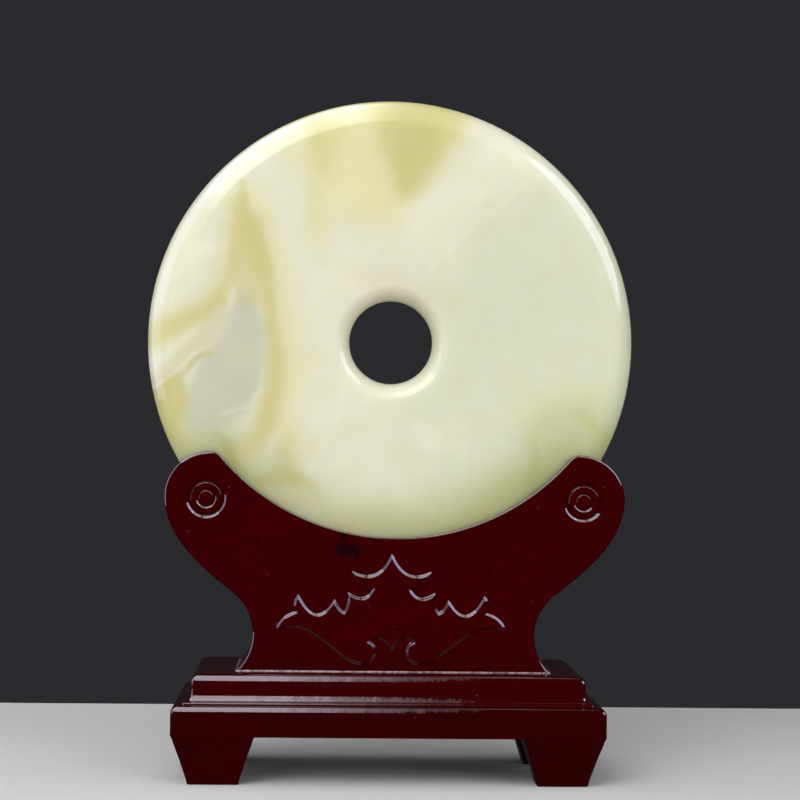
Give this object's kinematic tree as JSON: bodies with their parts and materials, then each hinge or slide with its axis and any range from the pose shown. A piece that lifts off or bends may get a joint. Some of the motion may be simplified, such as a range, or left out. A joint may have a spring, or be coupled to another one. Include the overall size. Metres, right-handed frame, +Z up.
{
  "type": "jade disc ornament",
  "caption": "Polished jade disc with a round hole, standing on edge in a carved lacquered wooden cradle on a moulded, footed plinth.",
  "frame": {"origin": "on the ground, under the middle of the plinth", "axes": "+Z up; the carved front faces -Y, so the disc's axis runs along Y; +X to the right seen from the front"},
  "size_m": [0.2, 0.084, 0.2769],
  "materials": {
    "jade": "polished",
    "lacquered_wood": "gloss lacquer"
  },
  "bodies": {
    "root": {"disc": "jade", "upright": "lacquered_wood", "plinth": "lacquered_wood", "foot_front_left": "lacquered_wood", "foot_front_right": "lacquered_wood", "foot_back_left": "lacquered_wood", "foot_back_right": "lacquered_wood"}
  },
  "joints": []
}
